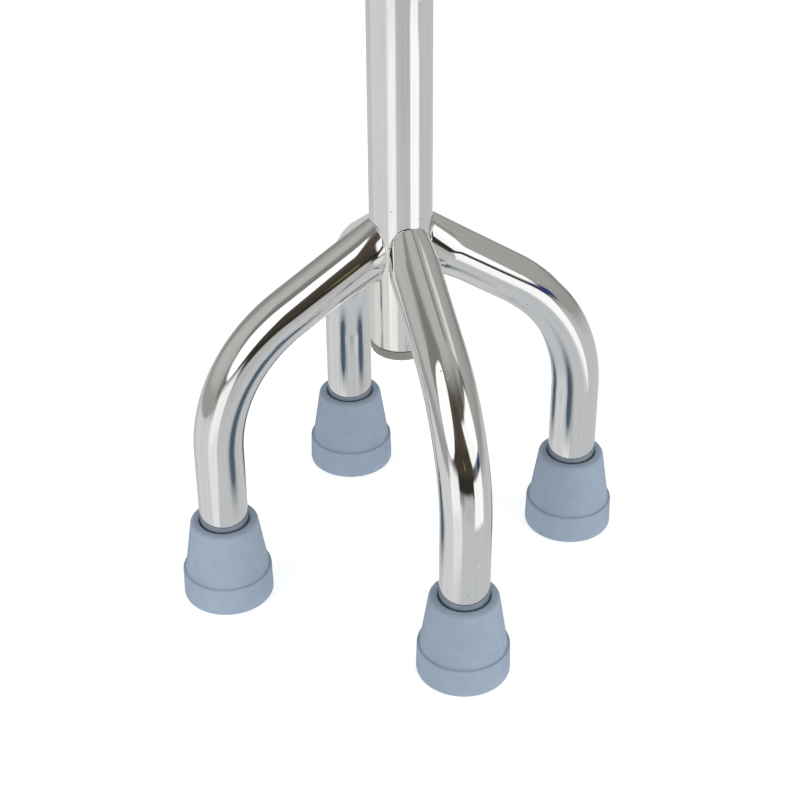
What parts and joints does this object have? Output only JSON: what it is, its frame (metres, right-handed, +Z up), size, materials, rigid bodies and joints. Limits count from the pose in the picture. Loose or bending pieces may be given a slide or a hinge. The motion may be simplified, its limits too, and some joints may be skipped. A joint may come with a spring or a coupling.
{
  "type": "quad cane",
  "caption": "Walking cane on a small quad base: chrome steel tubes, rubber ferrules, telescoping swan-neck handle with a snap button.",
  "frame": {"origin": "column's axis at the floor, in the middle of the four feet", "axes": "+Z up along the column, +Y the walking direction, in which the swan neck reaches forward, +X to the user's right; the legs point along the diagonals"},
  "size_m": [0.1498, 0.1598, 0.7367],
  "materials": {
    "chrome_tube": "bright chrome plate on steel tube",
    "ferrule_rubber": "matt blue-grey rubber",
    "plug_plastic": "moulded dark grey plastic",
    "grip_vinyl": "soft blue-grey vinyl",
    "button_steel": "polished",
    "spring_steel": "blued spring steel",
    "zinc_steel": "zinc plated"
  },
  "bodies": {
    "base": {"column": "chrome_tube", "column_end_plug": "plug_plastic", "column_top_cap": "plug_plastic", "leg_front_left": "chrome_tube", "leg_front_right": "chrome_tube", "leg_rear_left": "chrome_tube", "leg_rear_right": "chrome_tube", "ferrule_front_left": "ferrule_rubber", "ferrule_front_right": "ferrule_rubber", "ferrule_rear_left": "ferrule_rubber", "ferrule_rear_right": "ferrule_rubber", "ferrule_washer_front_left": "zinc_steel", "ferrule_washer_front_right": "zinc_steel", "ferrule_washer_rear_left": "zinc_steel", "ferrule_washer_rear_right": "zinc_steel"},
    "handle": {"handle_shaft": "chrome_tube", "shaft_foot_bush": "plug_plastic", "button_spring": "spring_steel", "handle_grip": "grip_vinyl"},
    "button": {"snap_button": "button_steel"}
  },
  "joints": [
    {"name": "height_slide", "type": "slide", "parent": "base", "child": "handle", "axis": [0, 0, 1], "range_m": [0, 0.1524]},
    {"name": "button_press", "type": "slide", "parent": "handle", "child": "button", "axis": [0, 1, 0], "range_m": [0, 0.0043], "stiffness_N_per_m": 500, "springref_m": -0.004, "deforming": ["button_spring"]}
  ]
}
